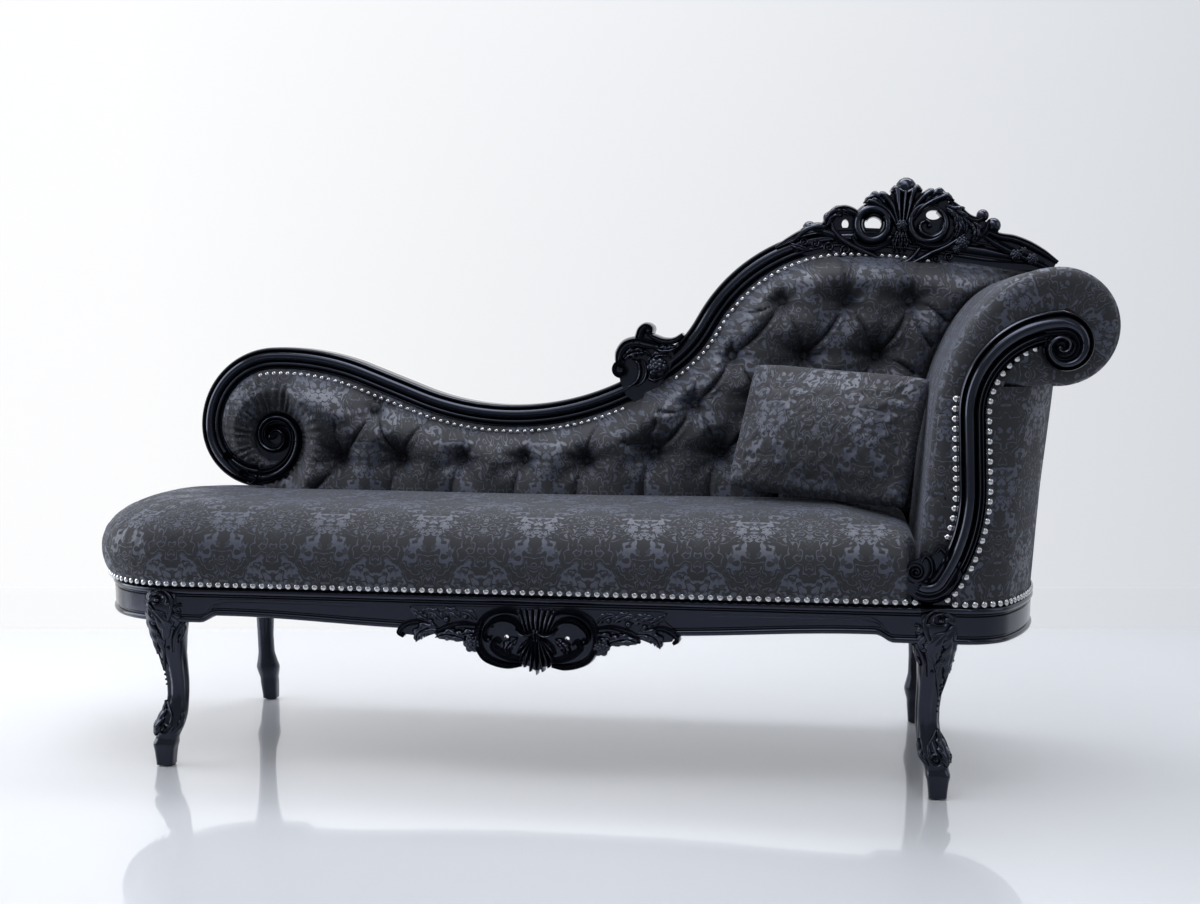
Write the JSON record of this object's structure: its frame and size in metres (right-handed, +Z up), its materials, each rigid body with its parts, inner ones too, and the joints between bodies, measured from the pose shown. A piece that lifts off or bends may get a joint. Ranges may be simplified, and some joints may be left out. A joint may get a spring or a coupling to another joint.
{
  "type": "chaise longue",
  "caption": "Chaise longue: long seat on cabriole legs, deep-buttoned back under a moulded S-curve rail with pierced crest, one rolled head end, loose oblong cushion.",
  "frame": {"origin": "on the floor below the middle of the bounding box", "axes": "+X along the length towards the rolled head end, +Y towards the back, +Z up"},
  "size_m": [1.8332, 0.572, 1.0717],
  "materials": {
    "damask": "woven damask, matt figure on a satin ground",
    "black_lacquer": "carved hardwood under high-gloss black lacquer",
    "bare_wood": "sawn and planed, unfinished",
    "hessian": "coarse woven jute and black cambric",
    "glide_nylon": "moulded"
  },
  "bodies": {
    "couch": {"apron": "black_lacquer", "back_acanthus": "black_lacquer", "back_beam": "bare_wood", "back_buttons": "damask", "back_lining": "hessian", "back_pad": "damask", "back_posts": "bare_wood", "back_rail_high": "black_lacquer", "back_rail_low": "black_lacquer", "corner_blocks": "bare_wood", "crest": "black_lacquer", "dust_cover": "hessian", "foot_end_drops": "black_lacquer", "foot_end_rail": "black_lacquer", "foot_glides": "glide_nylon", "foot_volute": "black_lacquer", "front_foot_leg": "black_lacquer", "front_head_leg": "black_lacquer", "front_rail": "black_lacquer", "head_board": "bare_wood", "head_end_rail": "black_lacquer", "head_facing": "black_lacquer", "head_front_board": "damask", "head_pad": "damask", "head_rear_board": "bare_wood", "head_roller": "bare_wood", "outside_back": "damask", "outside_head": "damask", "rear_foot_leg": "black_lacquer", "rear_head_leg": "black_lacquer", "rear_rail": "black_lacquer", "seat_braces": "bare_wood", "seat_deck": "bare_wood", "seat_pad": "damask", "seat_webbing": "hessian"},
    "cushion": {"lumbar_cushion": "damask"}
  },
  "joints": [
    {"name": "cushion_lift", "type": "slide", "parent": "couch", "child": "cushion", "axis": [0, 0, 1], "range_m": [0, 0.62]}
  ]
}
